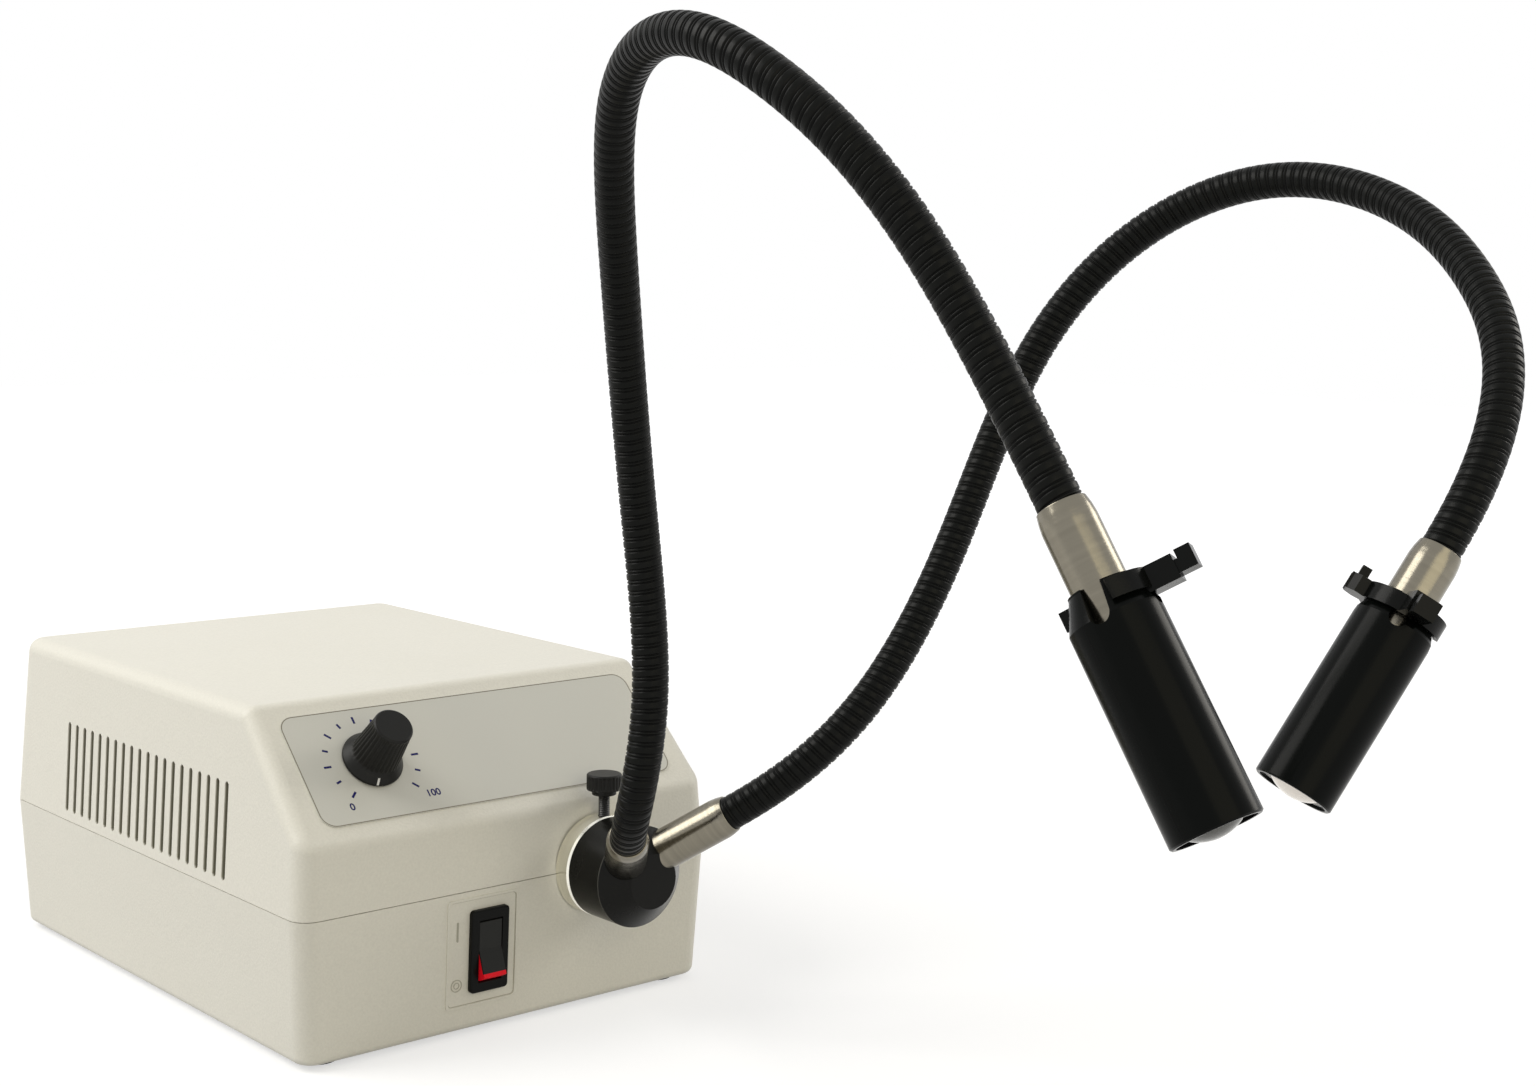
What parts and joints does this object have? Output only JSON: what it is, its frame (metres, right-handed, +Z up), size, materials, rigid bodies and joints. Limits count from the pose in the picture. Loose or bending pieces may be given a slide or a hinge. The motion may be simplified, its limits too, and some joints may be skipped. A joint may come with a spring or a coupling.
{
  "type": "fiber optic illuminator",
  "caption": "Bench light source with a sloped control panel and a dual gooseneck light guide that ends in two focusing lens heads.",
  "frame": {"origin": "centre of the housing's footprint on the bench, under its four feet", "axes": "+Z up, -Y out of the front wall that holds the light port and the switch, +X to the right when the control panel is read"},
  "size_m": [0.3251, 0.6104, 0.3666],
  "materials": {
    "housing_cream": "fine texture",
    "panel_grey": "satin print",
    "black_plastic": "satin",
    "black_anodised": "gloss black anodised",
    "satin_nickel": "satin nickel plate",
    "bright_nickel": "bright nickel plate",
    "hose_black": "satin",
    "lens_glass": "polished",
    "fibre_glass": "fibre bundle",
    "rocker_black": "gloss",
    "raw_aluminium": "milled",
    "zinc_steel": "zinc plate",
    "board_green": "solder mask",
    "supply_case": "bare sheet",
    "foot_rubber": "matt",
    "led_white": "phosphor"
  },
  "bodies": {
    "housing": {"base_shell": "housing_cream", "upper_cover": "housing_cream", "rubber_feet": "foot_rubber", "case_screws": "zinc_steel", "control_label": "panel_grey", "potentiometer": "zinc_steel", "potentiometer_nut": "zinc_steel", "rocker_bezel": "rocker_black", "receptacle_ring": "bright_nickel", "receptacle_nut": "satin_nickel", "led_module": "led_white", "condenser_holder": "black_anodised", "condenser_lens": "lens_glass", "heat_sink": "raw_aluminium", "heat_sink_bracket": "zinc_steel", "fan_frame": "black_plastic", "driver_board": "board_green", "power_supply": "supply_case", "mains_inlet": "black_plastic"},
    "knob": {"intensity_knob": "black_plastic", "potentiometer_shaft": "raw_aluminium"},
    "rocker": {"rocker_paddle": "rocker_black"},
    "lock_screw": {"thumbscrew_shank": "zinc_steel"},
    "lock_handle": {"thumbscrew_head": "black_plastic"},
    "plug": {"light_guide_plug": "satin_nickel", "fibre_bundle_common": "fibre_glass"},
    "light_guide": {"hub": "black_anodised", "base_ferrule_1": "satin_nickel", "gooseneck_lower_1": "hose_black", "fibre_bundle_lower_1": "fibre_glass", "base_ferrule_2": "satin_nickel", "gooseneck_lower_2": "hose_black", "fibre_bundle_lower_2": "fibre_glass"},
    "fan": {"fan_rotor": "black_plastic"},
    "arm_1": {"gooseneck_middle_1": "hose_black", "fibre_bundle_middle_1": "fibre_glass"},
    "head_1": {"gooseneck_upper_1": "hose_black", "fibre_bundle_upper_1": "fibre_glass", "end_ferrule_1": "satin_nickel"},
    "barrel_1": {"lens_barrel_1": "black_anodised", "snap_clamp_1": "black_plastic", "focusing_lens_1": "lens_glass", "lens_retainer_1": "black_anodised"},
    "arm_2": {"gooseneck_middle_2": "hose_black", "fibre_bundle_middle_2": "fibre_glass"},
    "head_2": {"gooseneck_upper_2": "hose_black", "fibre_bundle_upper_2": "fibre_glass", "end_ferrule_2": "satin_nickel"},
    "barrel_2": {"lens_barrel_2": "black_anodised", "snap_clamp_2": "black_plastic", "focusing_lens_2": "lens_glass", "lens_retainer_2": "black_anodised"}
  },
  "joints": [
    {"name": "intensity_turn", "type": "hinge", "parent": "housing", "child": "knob", "pos_m": [-0.05, -0.09895, 0.10623], "axis": [0, 0.7041, -0.7101], "range_deg": [0, 300]},
    {"name": "power_rocker", "type": "hinge", "parent": "housing", "child": "rocker", "pos_m": [-0.014, -0.12127, 0.03308], "axis": [1, 0, 0], "range_deg": [0, 22]},
    {"name": "lock_screw_travel", "type": "slide", "parent": "housing", "child": "lock_screw", "axis": [0, 0, 1], "range_m": [0, 0.006]},
    {"name": "lock_screw_turn", "type": "hinge", "parent": "lock_screw", "child": "lock_handle", "pos_m": [0.037, -0.1284, 0.0584], "axis": [0, 0, 1], "range_deg": [0, 2701]},
    {"name": "light_guide_pull", "type": "slide", "parent": "housing", "child": "plug", "axis": [0, -1, 0], "range_m": [0, 0.03]},
    {"name": "light_guide_turn", "type": "hinge", "parent": "plug", "child": "light_guide", "pos_m": [0.037, -0.124, 0.0584], "axis": [0, -1, 0], "range_deg": [-20, 20]},
    {"name": "arm_1_bend", "type": "hinge", "parent": "light_guide", "child": "arm_1", "pos_m": [0.00522, -0.19693, 0.14452], "axis": [0.9917, -0.1284, 0], "range_deg": [-14, 14]},
    {"name": "head_1_tilt", "type": "hinge", "parent": "arm_1", "child": "head_1", "pos_m": [-0.04614, -0.38711, 0.29083], "axis": [0.9917, -0.1284, 0], "range_deg": [-25, 25]},
    {"name": "focus_1_slide", "type": "slide", "parent": "head_1", "child": "barrel_1", "axis": [0.06, -0.5398, -0.8397], "range_m": [-0.0176, 0.0075]},
    {"name": "arm_2_bend", "type": "hinge", "parent": "light_guide", "child": "arm_2", "pos_m": [0.10407, -0.21006, 0.13342], "axis": [0.9965, -0.0836, 0], "range_deg": [-14, 14]},
    {"name": "head_2_tilt", "type": "hinge", "parent": "arm_2", "child": "head_2", "pos_m": [0.17433, -0.42502, 0.26825], "axis": [0.9965, -0.0836, 0], "range_deg": [-25, 25]},
    {"name": "focus_2_slide", "type": "slide", "parent": "head_2", "child": "barrel_2", "axis": [-0.5185, 0.2074, -0.8296], "range_m": [-0.0128, 0.0123]},
    {"name": "fan_spin", "type": "hinge", "parent": "housing", "child": "fan", "pos_m": [0.037, 0.1187, 0.06], "axis": [0, -1, 0], "continuous": true}
  ],
  "couplings": [
    {"joint": "lock_screw_turn", "follows": "lock_screw_travel", "rad_per_m": 7854}
  ]
}
